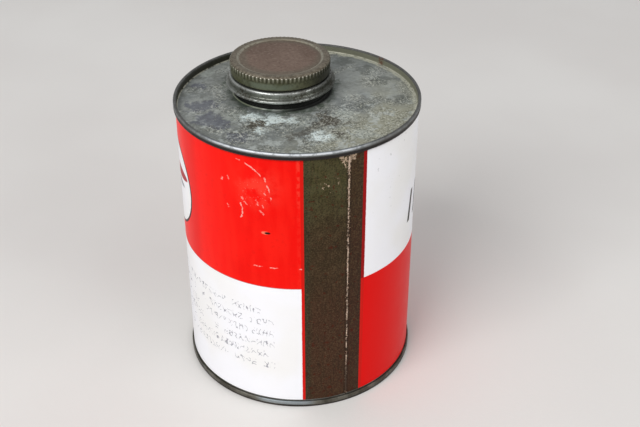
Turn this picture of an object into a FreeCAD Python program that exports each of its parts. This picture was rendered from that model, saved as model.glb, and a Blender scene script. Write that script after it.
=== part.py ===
import FreeCAD, Part
import math
import os

from FreeCAD import Vector

# A round lithographed tin with a screw neck and a screw cap. Millimetres, +Z up.
# The origin is at the middle of the foot. The side seam runs down the -Y side.

# The can
HEIGHT = 138.0              # over both double seams
SEAM_R = 55.5               # outer radius of the double seams
SHEET = 0.25                # tinplate gauge
LAYER = SHEET + 0.04        # spacing of the layers in a folded seam
SEAM_H = 3.1                # height of a double seam
BODY_HOOK = (0.60, 2.4)     # depth below the seam's face of the body hook's bend and of its free end
COVER_HOOK_END = 1.1        # depth of the cover hook's free end
CROWN_BEND = 0.4            # bend radius at the crown of a double seam
PANEL_DEPTH = 3.5           # recess of an end panel below the seam's face
CHUCK_BEND = 0.9            # bend radius between the chuck wall and the panel

# Layers of a double seam, as centreline radii from the outside in
SEAMING_R = SEAM_R - SHEET / 2
BODY_HOOK_R = SEAMING_R - LAYER
COVER_HOOK_R = SEAMING_R - 2 * LAYER
BODY_R = SEAMING_R - 3 * LAYER
CHUCK_R = SEAMING_R - 4 * LAYER

# Sealing compound over the bend of the body hook, as half of a faceted arch: offset from the
# cover hook's radius, and depth
COMPOUND_ROOF = ((0.14, 0.285), (0.30, 0.42))
COMPOUND_FLOOR = ((0.24, 0.50), (0.10, 0.44))

# Bottom panel, as (radius, depth)
FOOT_STEP_R = 49.0
FOOT_STEP_DEPTH = 3.05
FOOT_BEAD_R = (37.0, 40.0)
STEP_RUN = 0.6              # radial run and bend radius of a pressed step

# Lock seam down the side
LOCK_END = 4.4              # how far the hooked stretch stops short of each face of the can
LOCK_WIDTH = 3.2            # overlap of the two hooks
LOCK_REACH = 5.0            # half width of the stretch of wall that carries the hooks
LOCK_CLEARING = 4.0         # how far each side of the wall is cleared for them
LOCK_SET = 0.02             # how far the hooked stretch is pressed in from the wall's face
HOOK_SHORT = 0.35           # how far a hook's free edge stops short of the other hook's bend
GROOVE_W = 3 * LAYER + 0.02     # outer groove, from one shoulder's centre to the other's
SOLDER_PROUD = 0.10         # solder bead above the wall
SOLDER_FIT = 0.025          # solder clear of the groove's shoulders
SOLDER_ROOT = 0.03          # half width of the solder at the bottom of the groove
SOLDER_END = 0.05           # solder clear of the double seams

# Neck, off-centre in the top end; heights are above the can's upper face
NECK_X, NECK_Y = -2.4, 13.8
COLLAR_BASE_R = 23.5        # where the collar's pressing meets the flat panel
BOSS_R, BOSS_RISE = 22.1, 0.525
BOSS_RUN = 0.25             # half the radial run of the step up to the boss
COLLAR_R = 20.75
COLLAR_BENDS = (0.35, 0.4, 0.5)     # at the boss, at the collar's foot and under its flange
FLANGE_R, FLANGE_Z = 24.2, 1.25
CLINCH_R, LIP_R = 22.9, 24.775      # inner end of the neck's turned-under leaf, and its lip
LIP_Z = (0.87, 1.75)
LIP_BENDS = (0.38, 0.35)
WAIST_R, WAIST_Z = 23.3, 2.5
SHOULDER_R, SHOULDER_Z = 23.35, 5.3
RING_BEND = 0.8             # at the waist and the shoulder
NECK_R = 19.975
NECK_FOOT_Z, NECK_FOOT_BEND = 5.45, 0.5
MOUTH_Z = 9.855             # centre of the curl round the mouth
MOUTH_CURL_R = 0.70
MOUTH_CURL_TURN = 290.0
NECK_COMPOUND_R = (23.45, 24.15)
NECK_COMPOUND_Z = (1.42, 1.85)

# Thread of the neck and the cap, right-handed
THREAD_PITCH = 2.54
NECK_CREST_R = 21.1
CAP_CREST_R = 20.55
RIDGE_ROOT_W, RIDGE_CREST_W = 1.3, 0.4
THREAD_START_Z, THREAD_TURNS = 7.2, 1.0
NECK_THREAD_ANGLE, CAP_THREAD_ANGLE = 180.0, 0.0    # the ridges start on opposite sides, so they mesh

# Cap; heights are above the can's upper face
CAP_R = 22.45
CAP_TOP_Z = 12.475
CAP_CROWN_BEND = 0.75
CAP_HEM = (22.05, 6.7, 6.125, 0.2)      # radius of the turned-in leaf, its end, the fold's level, its bend
DISC_R, DISC_Z = 18.7, 11.975
DISC_RUN, DISC_BEND = 0.5, 0.35     # radial run of the step down to the disc, and its bends
KNURLS = 75
KNURL_CREST_R = 22.83
KNURL_HALF_W = 0.55
KNURL_Z = (9.35, 12.2)
KNURL_RAMP = 0.35           # height over which a ridge rises at each end

# Wad and its facing, as radius, lower and upper height
WAD = (21.7, 10.86, 11.80)
FACING = (21.5, 10.73, 10.83)


def line(start, end):
    """A straight stretch of a path in a plane."""
    return ("line", start, end)


def arc(centre, radius, start, end):
    """An arc of a path, between two angles in degrees, anticlockwise when end is the larger."""
    return ("arc", centre, radius, math.radians(start), math.radians(end))


def rounded(*corners):
    """A path through corners (x, y) or (x, y, bend radius), with a tangent arc at each bend."""
    path = []
    start = corners[0][:2]
    for before, here, after in zip(corners, corners[1:], corners[2:]):
        x, y, radius = here
        into = Vector(x - before[0], y - before[1], 0).normalize()
        out = Vector(after[0] - x, after[1] - y, 0).normalize()
        turn = math.atan2(into.cross(out).z, into.dot(out))
        trim = radius * math.tan(abs(turn) / 2)
        side = math.copysign(radius, turn)
        bend_start = (x - into.x * trim, y - into.y * trim)
        centre = (bend_start[0] - into.y * side, bend_start[1] + into.x * side)
        angle = math.atan2(bend_start[1] - centre[1], bend_start[0] - centre[0])
        if math.dist(start, bend_start) > 1e-6:
            path.append(line(start, bend_start))
        path.append(("arc", centre, radius, angle, angle + turn))
        start = (x + out.x * trim, y + out.y * trim)
    path.append(line(start, corners[-1][:2]))
    return path


def beside(stretch, shift):
    """Start, middle and end of the edge that runs at a distance to the left of a stretch."""
    if stretch[0] == "line":
        (x0, y0), (x1, y1) = stretch[1:]
        scale = shift / math.dist((x0, y0), (x1, y1))
        dx, dy = -(y1 - y0) * scale, (x1 - x0) * scale
        ends = (x0 + dx, y0 + dy), (x1 + dx, y1 + dy)
        return ends[0], midpoint(*ends), ends[1]
    _, (cx, cy), radius, start, end = stretch
    radius -= shift * math.copysign(1, end - start)
    return tuple((cx + radius * math.cos(a), cy + radius * math.sin(a))
                 for a in (start, (start + end) / 2, end))


def midpoint(p, q):
    return ((p[0] + q[0]) / 2, (p[1] + q[1]) / 2)


def outline(path):
    """Closed outline of a sheet that follows a path, as edges of start, middle and end."""
    left = [beside(stretch, SHEET / 2) for stretch in path]
    right = [beside(stretch, -SHEET / 2)[::-1] for stretch in reversed(path)]
    far, near = (left[-1][2], right[0][0]), (right[-1][2], left[0][0])
    return left + [(far[0], midpoint(*far), far[1])] + right + [(near[0], midpoint(*near), near[1])]


def polygon(*points):
    """Closed outline of straight edges."""
    return [(p, midpoint(p, q), q) for p, q in zip(points, points[1:] + points[:1])]


def face(edges, place):
    """A flat face from an outline, with each plane point put in space by place(x, y)."""
    shapes = []
    for edge in edges:
        a, b, c = (place(*point) for point in edge)
        bent = (b - a).cross(c - b).Length > 1e-9
        shapes.append((Part.Arc(a, b, c) if bent else Part.LineSegment(a, c)).toShape())
    return Part.Face(Part.Wire(shapes))


def spun(edges, place):
    """A solid of revolution about the Z axis."""
    return face(edges, place).revolve(Vector(0, 0, 0), Vector(0, 0, 1), 360)


def flat(x, y):
    return Vector(x, y, 0)


def upright(r, z):
    """Radius and height, from the foot of the can."""
    return Vector(r, 0, z)


def above_top(r, z):
    """Radius and height, from the can's upper face."""
    return Vector(r, 0, HEIGHT + z)


def from_top(r, depth):
    """Radius and depth below the can's upper face."""
    return Vector(r, 0, HEIGHT - depth)


def round_seam(u, radius):
    """Distance round the wall from the side seam, and radius, in plan."""
    angle = math.radians(-90) + u / BODY_R
    return Vector(radius * math.cos(angle), radius * math.sin(angle), 0)


def on_neck(shape):
    """A shape made about the Z axis, moved onto the neck's axis."""
    return shape.translated(Vector(NECK_X, NECK_Y, 0))


def raised(plan, low, high):
    """A plan face made into a solid between two heights."""
    return plan.extrude(Vector(0, 0, high - low)).translated(Vector(0, 0, low))


def body_shell():
    bend, hook_end = BODY_HOOK
    hooked_wall = rounded(
        (BODY_HOOK_R, hook_end), (BODY_HOOK_R, bend, LAYER), (BODY_R, bend, LAYER),
        (BODY_R, HEIGHT - bend, LAYER), (BODY_HOOK_R, HEIGHT - bend, LAYER), (BODY_HOOK_R, HEIGHT - hook_end))
    wall = spun(outline(hooked_wall), upright)

    # The stretch of wall at the side seam is replaced by two interlocked hooks, four layers deep.
    levels = [BODY_R - LOCK_SET - k * LAYER for k in range(4)]
    fold_u = -GROOVE_W / 2
    step_u = GROOVE_W / 2 - LAYER
    left_hook = rounded(
        (-LOCK_REACH, levels[0]), (fold_u + LAYER, levels[0], LAYER), (fold_u + LAYER, levels[2], LAYER),
        (fold_u - LOCK_WIDTH + HOOK_SHORT, levels[2]))
    far_u = fold_u - LOCK_WIDTH - LAYER
    right_hook = rounded(
        (LOCK_REACH, levels[0]), (step_u, levels[0], LAYER), (step_u, levels[3], LAYER),
        (far_u, levels[3], LAYER), (far_u, levels[1], LAYER), (fold_u - HOOK_SHORT, levels[1]))
    inside, outside = BODY_R - LOCK_CLEARING, BODY_R + LOCK_CLEARING
    span = polygon((-LOCK_REACH, inside), (LOCK_REACH, inside), (LOCK_REACH, outside), (-LOCK_REACH, outside))
    low, high = LOCK_END, HEIGHT - LOCK_END
    wall = wall.cut(raised(face(span, round_seam), low, high))
    hooks = [raised(face(outline(hook), round_seam), low, high) for hook in (left_hook, right_hook)]
    return wall.fuse(hooks).removeSplitter()


def side_seam_solder():
    surface = BODY_R + SHEET / 2
    shoulder_r = LAYER + SHEET / 2
    shoulder_u = GROOVE_W / 2
    round_r = shoulder_r + SOLDER_FIT

    def flank(side, height):
        """A point on the solder's flank, concentric with the groove's shoulder on that side."""
        across = math.sqrt(round_r ** 2 - height ** 2)
        return (side * (shoulder_u - across), surface - shoulder_r + height)

    root_h = math.sqrt(round_r ** 2 - (shoulder_u - SOLDER_ROOT) ** 2)
    heights = (shoulder_r, (shoulder_r + root_h) / 2, root_h)
    left = tuple(flank(-1, h) for h in heights)
    right = tuple(flank(1, h) for h in reversed(heights))
    root = (left[2], midpoint(left[2], right[0]), right[0])
    lid = (right[2], midpoint(right[2], left[0]), left[0])
    fillet = face([left, root, right, lid], round_seam)
    edge_u = abs(left[0][0])
    lift = surface + SOLDER_FIT
    bead = face([((-edge_u, lift), (0, lift), (edge_u, lift)),
                 ((edge_u, lift), (0, surface + SOLDER_PROUD), (-edge_u, lift))], round_seam)
    web = face(polygon((-edge_u, surface), (edge_u, surface), (edge_u, lift), (-edge_u, lift)), round_seam)
    gap = SEAM_H + SOLDER_END
    in_groove = (LOCK_END + SOLDER_FIT, HEIGHT - LOCK_END - SOLDER_FIT)
    solder = raised(bead, gap, HEIGHT - gap).fuse([raised(web, *in_groove), raised(fillet, *in_groove)])
    return solder.removeSplitter()


def cover_rim():
    """The rim of an end, as (radius, depth) corners, from its hook to the foot of its chuck wall."""
    fold = SEAM_H - SHEET / 2
    crown = SHEET / 2
    return [(COVER_HOOK_R, COVER_HOOK_END), (COVER_HOOK_R, fold, LAYER), (SEAMING_R, fold, LAYER),
            (SEAMING_R, crown, CROWN_BEND), (CHUCK_R, crown, CROWN_BEND),
            (CHUCK_R, PANEL_DEPTH + SHEET / 2, CHUCK_BEND)]


def top_end():
    panel = PANEL_DEPTH + SHEET / 2
    flat_end = spun(outline(rounded(*cover_rim(), (0, panel))), from_top)
    boss = panel - BOSS_RISE
    boss_bend, foot_bend, flange_bend = COLLAR_BENDS
    collar = rounded(
        (COLLAR_BASE_R, -panel), (BOSS_R + BOSS_RUN, -panel, boss_bend),
        (BOSS_R - BOSS_RUN, -boss, boss_bend), (COLLAR_R, -boss, foot_bend),
        (COLLAR_R, FLANGE_Z, flange_bend), (FLANGE_R, FLANGE_Z))
    holed_end = flat_end.cut(disc(COLLAR_BASE_R, -2 * panel, 0))
    return holed_end.fuse(on_neck(spun(outline(collar), above_top))).removeSplitter()


def bottom_end():
    panel = PANEL_DEPTH + SHEET / 2
    low, high = FOOT_BEAD_R
    run = STEP_RUN
    steps = [(FOOT_STEP_R, panel, run), (FOOT_STEP_R - run, FOOT_STEP_DEPTH, run),
             (high, FOOT_STEP_DEPTH, run), (high - run, panel, run),
             (low + run, panel, run), (low, FOOT_STEP_DEPTH, run)]
    return spun(outline(rounded(*cover_rim(), *steps, (0, FOOT_STEP_DEPTH))), upright)


def seam_compound(place):
    half = COMPOUND_ROOF + COMPOUND_FLOOR
    right = [(COVER_HOOK_R + offset, depth) for offset, depth in half]
    left = [(COVER_HOOK_R - offset, depth) for offset, depth in reversed(half)]
    return spun(polygon(*right, *left), place)


def thread_ridge(root_r, crest_r, start_angle):
    """A right-handed helical ridge about the Z axis, of trapezium section."""
    helix = Part.makeHelix(THREAD_PITCH, THREAD_PITCH * THREAD_TURNS, root_r)
    root, crest = RIDGE_ROOT_W / 2, RIDGE_CREST_W / 2
    section = face(polygon((root_r, -root), (crest_r, -crest), (crest_r, crest), (root_r, root)), upright)
    ridge = Part.Wire(helix.Edges).makePipeShell([section.OuterWire], True, True)
    ridge.rotate(Vector(0, 0, 0), Vector(0, 0, 1), start_angle)
    return ridge.translated(Vector(0, 0, HEIGHT + THREAD_START_Z))


def screw_neck():
    (low, high), (low_bend, high_bend) = LIP_Z, LIP_BENDS
    clinch = rounded((CLINCH_R, low), (LIP_R, low, low_bend), (LIP_R, high, high_bend),
                     (WAIST_R, WAIST_Z, RING_BEND), (SHOULDER_R, SHOULDER_Z, RING_BEND),
                     (NECK_R, NECK_FOOT_Z, NECK_FOOT_BEND), (NECK_R, MOUTH_Z))
    curl = arc((NECK_R - MOUTH_CURL_R, MOUTH_Z), MOUTH_CURL_R, 0, MOUTH_CURL_TURN)
    neck = spun(outline(clinch + [curl]), above_top)
    return on_neck(neck.fuse(thread_ridge(NECK_R, NECK_CREST_R, NECK_THREAD_ANGLE)))


def neck_seam_compound():
    (inner, outer), (low, high) = NECK_COMPOUND_R, NECK_COMPOUND_Z
    return on_neck(spun(polygon((inner, low), (outer, low), (outer, high), (inner, high)), above_top))


def knurl():
    """One ridge of the cap's edge, round in plan and ramped at its two ends."""
    low, high = KNURL_Z
    root, half = CAP_R, KNURL_HALF_W
    plan = face([((root, -half), (KNURL_CREST_R, 0), (root, half)),
                 ((root, half), (root, 0), (root, -half))], flat)
    ramp = face(polygon((root, low), (KNURL_CREST_R, low + KNURL_RAMP),
                        (KNURL_CREST_R, high - KNURL_RAMP), (root, high)), above_top)
    ridge = raised(plan, HEIGHT + low, HEIGHT + high)
    return ridge.common(ramp.extrude(Vector(0, 2 * half, 0)).translated(Vector(0, -half, 0)))


def screw_cap():
    leaf_r, leaf_end, fold, fold_bend = CAP_HEM
    section = rounded((leaf_r, leaf_end), (leaf_r, fold, fold_bend), (CAP_R, fold, fold_bend),
                      (CAP_R, CAP_TOP_Z, CAP_CROWN_BEND), (DISC_R + DISC_RUN, CAP_TOP_Z, DISC_BEND),
                      (DISC_R, DISC_Z, DISC_BEND), (0, DISC_Z))
    cap = spun(outline(section), above_top)
    ridge = knurl()
    knurls = [ridge.rotated(Vector(0, 0, 0), Vector(0, 0, 1), 360 * k / KNURLS) for k in range(KNURLS)]
    return on_neck(cap.fuse(knurls + [thread_ridge(CAP_R, CAP_CREST_R, CAP_THREAD_ANGLE)]))


def disc(radius, low, high):
    """A flat disc on the neck's axis, between two heights above the can's upper face."""
    return Part.makeCylinder(radius, high - low, Vector(NECK_X, NECK_Y, HEIGHT + low))


PIECES = {
    "body_shell": body_shell(),
    "side_seam_solder": side_seam_solder(),
    "top_end": top_end(),
    "bottom_end": bottom_end(),
    "top_seam_compound": seam_compound(from_top),
    "bottom_seam_compound": seam_compound(upright),
    "screw_neck": screw_neck(),
    "neck_seam_compound": neck_seam_compound(),
    "screw_cap": screw_cap(),
    "cap_wad": disc(*WAD),
    "wad_facing": disc(*FACING),
}

os.makedirs("parts", exist_ok=True)
for name, shape in PIECES.items():
    shape.exportStep(f"parts/{name}.step")
    box = shape.BoundBox
    print(f"{name:22s} solids {len(shape.Solids)} valid {shape.isValid()} volume {shape.Volume:9.2f} "
          f"z {box.ZMin:8.3f} to {box.ZMax:8.3f}")
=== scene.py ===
"""A round lithographed tin with a soldered side seam, mottled tinplate ends, a rolled neck and a
knurled screw cap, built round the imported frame. The scene is in metres; sections and patterns are
written in millimetres."""
import math

import bpy
import numpy as np
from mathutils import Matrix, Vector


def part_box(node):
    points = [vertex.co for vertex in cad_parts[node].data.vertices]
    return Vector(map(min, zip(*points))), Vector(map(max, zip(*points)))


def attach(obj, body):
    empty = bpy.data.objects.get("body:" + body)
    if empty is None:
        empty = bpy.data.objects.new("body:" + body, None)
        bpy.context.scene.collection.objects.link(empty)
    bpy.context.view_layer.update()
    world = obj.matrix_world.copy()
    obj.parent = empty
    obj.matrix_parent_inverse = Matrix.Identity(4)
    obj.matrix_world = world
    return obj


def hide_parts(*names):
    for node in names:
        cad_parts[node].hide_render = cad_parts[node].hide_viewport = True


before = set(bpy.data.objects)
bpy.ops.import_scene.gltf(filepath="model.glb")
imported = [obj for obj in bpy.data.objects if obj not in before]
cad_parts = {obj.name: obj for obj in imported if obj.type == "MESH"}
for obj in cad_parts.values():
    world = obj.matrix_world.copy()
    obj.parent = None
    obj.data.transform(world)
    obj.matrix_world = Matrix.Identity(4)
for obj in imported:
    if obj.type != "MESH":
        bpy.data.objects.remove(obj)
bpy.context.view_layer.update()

MM = 0.001


def box_mm(node):
    """Lowest and highest corner of a CAD node, in millimetres."""
    low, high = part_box(node)
    return np.array(low) / MM, np.array(high) / MM


# Sizes read from the frame
shell_low, shell_high = box_mm("body_shell")
neck_low, neck_high = box_mm("screw_neck")
cap_low, cap_high = box_mm("screw_cap")
HEIGHT = shell_low[2] + shell_high[2]           # the body shell stops equally short of both faces
SEAM_R = box_mm("bottom_end")[1][0]
NECK_X, NECK_Y = ((neck_low + neck_high) / 2)[:2]
CAP_CREST_Z = cap_high[2] - HEIGHT
KNURL_CREST_R = (cap_high[0] - cap_low[0]) / 2

# Sheet and the layers of a double seam, as centreline radii from the outside in
SHEET = 0.25
LAYER = SHEET + 0.04
SEAMING_R = SEAM_R - SHEET / 2
BODY_HOOK_R = SEAMING_R - LAYER
COVER_HOOK_R = SEAMING_R - 2 * LAYER
BODY_R = SEAMING_R - 3 * LAYER
CHUCK_R = SEAMING_R - 4 * LAYER
WALL_R = BODY_R + SHEET / 2
SEAM_H = 3.1
BODY_HOOK = (0.60, 2.4)
COVER_HOOK_END = 1.1
CROWN_BEND = 0.4
PANEL_DEPTH = 3.5
CHUCK_BEND = 0.9
PANEL = PANEL_DEPTH + SHEET / 2

# Pressed rings of the bottom panel, as (radius, depth) corners with a bend
STEP_BEND = 0.6
STEP_DEPTH = 3.05
BOTTOM_STEPS = [(49.0, PANEL, STEP_BEND), (48.4, STEP_DEPTH, STEP_BEND),
                (40.0, STEP_DEPTH, STEP_BEND), (39.4, PANEL, STEP_BEND),
                (37.6, PANEL, STEP_BEND), (37.0, STEP_DEPTH, STEP_BEND)]

# Neck; heights are above the can's upper face
BOSS = PANEL - 0.525
COLLAR_R, FLANGE_R, FLANGE_Z = 20.75, 24.2, 1.25
BOSS_FOOT_R, BOSS_EDGE_R, BOSS_BEND = 22.35, 21.85, 0.35
NECK_CLINCH = [(22.9, 0.87), (24.775, 0.87, 0.38), (24.775, 1.75, 0.35), (23.3, 2.5, 0.8),
               (23.35, 5.3, 0.8), (19.975, 5.45, 0.5), (19.975, 9.855)]
MOUTH_CURL = ((19.275, 9.855), 0.70, 290)       # centre, radius and turn in degrees
THREAD_PITCH, THREAD_START_Z = 2.54, 7.2
NECK_THREAD_DEPTH, CAP_THREAD_CREST_R = 1.0, 20.55
RIDGE_HALF_H = 0.65

# Cap; heights are above the can's upper face
CAP_R = KNURL_CREST_R - 0.38
CAP_TOP_Z = CAP_CREST_Z - SHEET / 2
HEM_Z, HEM_END_Z, HEM_R = 6.125, 6.7, CAP_R - 0.4
DISC_Z = CAP_TOP_Z - 0.5
CAP_HEM = [(HEM_R, HEM_END_Z), (HEM_R, HEM_Z, 0.2), (CAP_R, HEM_Z, 0.2)]
CAP_CROWN = [(CAP_R, CAP_TOP_Z, 0.75), (19.2, CAP_TOP_Z, 0.35), (18.7, DISC_Z, 0.35)]
KNURLS = 75
KNURL_DEPTH = KNURL_CREST_R - CAP_R - SHEET / 2
KNURL_Z = (9.15, CAP_CREST_Z - 0.2)

# How far the sheet strays from its true shape
WALL_WAVE, WALL_FLAT, GROOVE_DEPTH = 0.07, 0.10, 0.2
TOP_WAVE, SEAM_DIP, NECK_WAVE, DISC_DENT, CROWN_NOTCH = 0.10, 0.035, 0.04, 0.05, 0.16

# Layout of the print, in millimetres clockwise from the side seam and up from the foot
ROUND_WALL = 2 * math.pi * WALL_R
STRIP = (19.74, ROUND_WALL - 6.85)              # ends of the printed stretch
PANELS = (21.07, 181.0, ROUND_WALL - 8.55)      # left panel, far boundary, right panel
SPLIT_Z = 69.2
ROUNDEL, ROUNDEL_R = (102.0, 100.0), 22.2
RED_OVAL_Z, GREY_OVAL_Z = 106.5, 100.5          # across the roundel
BARS, BARS_Z = (207.0, 304.5), (82.5, 98.5)     # ends, foot and top of the row of slanted bars
BAR_PITCH, BAR_SLANT, BAR_SHIFT = 9.0, 0.22, 18.02
ROWS, ROW_COUNT = (33.5, 168.0), 6              # ends and number of the rows of fine print
ROW_PITCH, LOWEST_ROW_Z, CURL_PITCH = 6.26, 24.0, 3.05

# Damage to the print, in the same millimetres
LONG_SCRATCH = ((51.5, 114.5), 18.0, -3, 80)    # arc: centre, radius, and the angles of its ends
HOOK_SCRATCH = ((54.5, 107.5), 8.0, -28, 28)
LEVEL_SCRATCH = (80.0, 21.0, 42.0)              # height, and both ends
SCRATCH_WIDTH = 0.5
NICKS = ((44.0, 114.0), 14.0, 10)               # middle, reach and number of the small nicks
CHIP = (35.5, 98.0)

# Stains of the top, the bright ones partly painted highlight, in the order they are laid on: the
# softness of their edges, their strength, their colour, and each one's (x, y, radius) from the
# can's axis
STAINS_AND_HIGHLIGHTS = {
    "pale": (2.5, 0.6, (178, 184, 176), ((-31, -3, 4.5), (-29, 44, 4.5), (-8, -19, 5.0),
                                         (14, -41, 5.0), (13, -22, 5.0), (-3, -37, 5.0))),
    "blue": (0.8, 0.75, (94, 96, 107), ((-44, 12, 5.2), (-37, 11, 4.6), (-43, -1, 5.6),
                                        (-39, -7, 4.2), (-36, 31, 3.6), (-37, -22, 4.6))),
    "dull": (1.4, 0.6, (84, 88, 82), ((41, 16, 5.0), (44, 3, 4.6), (36, 28, 4.2),
                                      (43, -19, 3.8), (25, -18, 2.4), (-19, 34, 4.5))),
    # Bright: cleaner patches of tin, partly painted highlight.
    "bright": (1.4, 0.9, (238, 250, 248), ((-25, -7, 4.0), (-17, -13, 4.8), (-11, -17, 2.6),
                                           (-5, -35, 3.6), (-26, -20, 1.6))),
    "grey": (0.8, 0.75, (86, 82, 74), ((-2, -25, 2.8), (-6, -27, 2.8), (-10, -29.5, 3.0),
                                       (-15, -31, 2.4))),
    "brown": (0.6, 0.88, (74, 66, 54), ((-28, -15, 3.2), (-24, -14, 2.6), (5, -24, 5.0),
                                        (4, -17.5, 1.4), (12, -30, 1.8), (4, -37, 2.8))),
}
RIM_STAINS = ((34, 41, 2.6), (39, 36, 2.2))

# Directions across the can, as shares of x and y
TO_FRONT_LEFT = (-0.511, -0.86)
TO_FRONT_RIGHT = (0.912, -0.41)


# Sections

def bends(*corners, step=1.0, chords=5):
    """Centreline samples of a sheet through corners (x, y) or (x, y, bend radius). Each sample is a
    point and its left normal."""
    samples = []
    start = np.array(corners[0][:2], float)
    for before, here, after in zip(corners, corners[1:], corners[2:]):
        corner = np.array(here[:2], float)
        into = unit(corner - before[:2])
        out = unit(np.array(after[:2]) - corner)
        turn = math.atan2(into[0] * out[1] - into[1] * out[0], into @ out)
        trim = here[2] * math.tan(abs(turn) / 2)
        side = math.copysign(here[2], turn)
        samples += run(start, corner - into * trim, step)
        centre = corner - into * trim + side * left_of(into)
        begin = math.degrees(math.atan2(*(corner - into * trim - centre)[::-1]))
        samples += sweep(centre, here[2], begin, math.degrees(turn), chords)
        start = corner + out * trim
    samples += run(start, np.array(corners[-1][:2], float), step)
    return np.array(samples)


def unit(v):
    return v / np.hypot(*v)


def left_of(v):
    return np.array((-v[1], v[0]))


def run(start, end, step):
    """Samples of a straight stretch, its two ends included."""
    length = math.dist(start, end)
    if length < 1e-6:
        return []
    normal = left_of(unit(end - start))
    shares = np.linspace(0, 1, max(2, math.ceil(length / step) + 1))
    return [(*(start + (end - start) * t), *normal) for t in shares]


def sweep(centre, radius, begin, turn, chords):
    """Samples inside an arc that starts at an angle and turns by another, in degrees."""
    samples = []
    for t in np.linspace(0, 1, chords + 1)[1:-1]:
        angle = math.radians(begin + turn * t)
        radial = np.array((math.cos(angle), math.sin(angle)))
        samples.append((*(np.array(centre) + radius * radial), *(-radial * math.copysign(1, turn))))
    return samples


def sheet_loop(samples):
    """Closed anticlockwise outline of a sheet that follows centreline samples."""
    points, normals = samples[:, :2], samples[:, 2:]
    loop = np.vstack((points + normals * SHEET / 2, (points - normals * SHEET / 2)[::-1]))
    keep = np.hypot(*(loop - np.roll(loop, 1, axis=0)).T) > 1e-5
    return anticlockwise(loop[keep])


def anticlockwise(loop):
    x, y = loop.T
    area = np.sum(x * np.roll(y, -1) - np.roll(x, -1) * y)
    return loop if area > 0 else loop[::-1]


def below_top(samples):
    """(radius, depth) samples turned into (radius, height) ones."""
    return samples * (1, -1, 1, -1) + (0, HEIGHT, 0, 0)


def above_top(samples):
    """(radius, height above the upper face) samples moved up to the upper face."""
    return samples + (0, HEIGHT, 0, 0)


# Meshes

def spun(name, loop, angles, place, slots=(), slot_of=None):
    """A closed mesh from an outline of (radius, height) spun round. place(r, z, angle) gives x, y
    and z, and slot_of(r, z, angle) numbers each face's material. Points on the axis become single
    vertices."""
    count, columns = len(loop), len(angles)
    on_axis = loop[:, 0] < 1e-6
    r, z = (np.broadcast_to(v, (columns, count)) for v in loop.T)
    a = np.broadcast_to(np.array(angles)[:, None], (columns, count))
    grid = np.stack(place(r, z, a), axis=-1) * MM
    used = np.ones((columns, count), bool)
    used[1:, on_axis] = False
    index = np.cumsum(used.ravel()).reshape(columns, count) - 1
    index[:, on_axis] = index[0, on_axis]
    following, beside = np.roll(index, -1, axis=0), np.roll(index, -1, axis=1)
    quads = np.stack((index, following, np.roll(following, -1, axis=1), beside), axis=-1)
    quads = quads.reshape(-1, 4)
    flat = np.tile(on_axis & np.roll(on_axis, -1), columns)
    numbers = slot_of(r, z, a).ravel()[~flat] if slot_of else None
    return mesh_piece(name, grid[used], quads[~flat], slots, numbers)


def mesh_piece(name, vertices, faces, slots=(), numbers=None):
    """A mesh object, smooth but for its folded edges. numbers gives each face's material."""
    mesh = bpy.data.meshes.new(name)
    mesh.from_pydata(vertices.tolist(), [], [list(dict.fromkeys(f)) for f in faces.tolist()])
    for material in slots:
        mesh.materials.append(material)
    if numbers is not None:
        mesh.polygons.foreach_set("material_index", numbers.astype(np.int32))
    mesh.polygons.foreach_set("use_smooth", np.ones(len(mesh.polygons), bool))
    mesh.set_sharp_from_angle(angle=math.radians(50))
    mesh.update()
    piece = bpy.data.objects.new(name, mesh)
    bpy.context.scene.collection.objects.link(piece)
    return piece


def bar(name, rings, material):
    """A closed mesh from a stack of rings, with its first and last filled in. Each ring goes out
    along one side of a strip and comes back along the other."""
    rows, count = rings.shape[:2]
    index = np.arange(rows * count).reshape(rows, count)
    beside = np.roll(index, -1, axis=1)
    sides = np.stack((index[:-1], index[1:], beside[1:], beside[:-1]), axis=-1).reshape(-1, 4)
    ends = [[row[k], row[k + 1], row[-2 - k], row[-1 - k]][::order]
            for row, order in ((index[0], 1), (index[-1], -1)) for k in range(count // 2 - 1)]
    return mesh_piece(name, rings.reshape(-1, 3) * MM, np.vstack((sides, ends)), (material,))


def smooth(x, low, high):
    """0 below low, 1 above high, and a smooth rise in between."""
    t = np.clip((x - low) / (high - low), 0, 1)
    return t * t * (3 - 2 * t)


def ripple(a, b, seed):
    """A smooth random field of two coordinates, about -1 to 1, as a sum of waves."""
    source = np.random.default_rng(seed)
    total = np.zeros_like(a, dtype=float)
    for octave in (1.0, 2.0, 4.0):
        for _ in range(4):
            heading, phase = source.uniform(0, 2 * math.pi, 2)
            along = a * math.cos(heading) + b * math.sin(heading)
            total += np.sin(octave * source.uniform(0.8, 1.25) * along + phase) / octave
    return total / 5


def even_angles(columns):
    return np.arange(columns) * 2 * math.pi / columns


def about_can(r, z, angle):
    return r * np.cos(angle), r * np.sin(angle), z


def about_neck(r, z, angle):
    return NECK_X + r * np.cos(angle), NECK_Y + r * np.sin(angle), z


def thread_rise(z, angle, start_angle):
    """Share of the ridge's height at a point of a wall, for a one-turn right-handed thread."""
    turn = np.mod(angle - start_angle, 2 * math.pi) / (2 * math.pi)
    centre = HEIGHT + THREAD_START_Z + turn * THREAD_PITCH
    across = np.clip(1 - np.abs(z - centre) / RIDGE_HALF_H, 0, 1)
    fade = smooth(turn, 0, 0.05) * (1 - smooth(turn, 0.95, 1))
    return smooth(across, 0, 0.8) * fade


# Shader graphs

def shade(red, green, blue):
    """A displayed colour, 0 to 255, as a linear one."""
    def linear(c):
        c /= 255
        return c / 12.92 if c <= 0.04045 else ((c + 0.055) / 1.055) ** 2.4
    return (linear(red), linear(green), linear(blue), 1)


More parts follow.
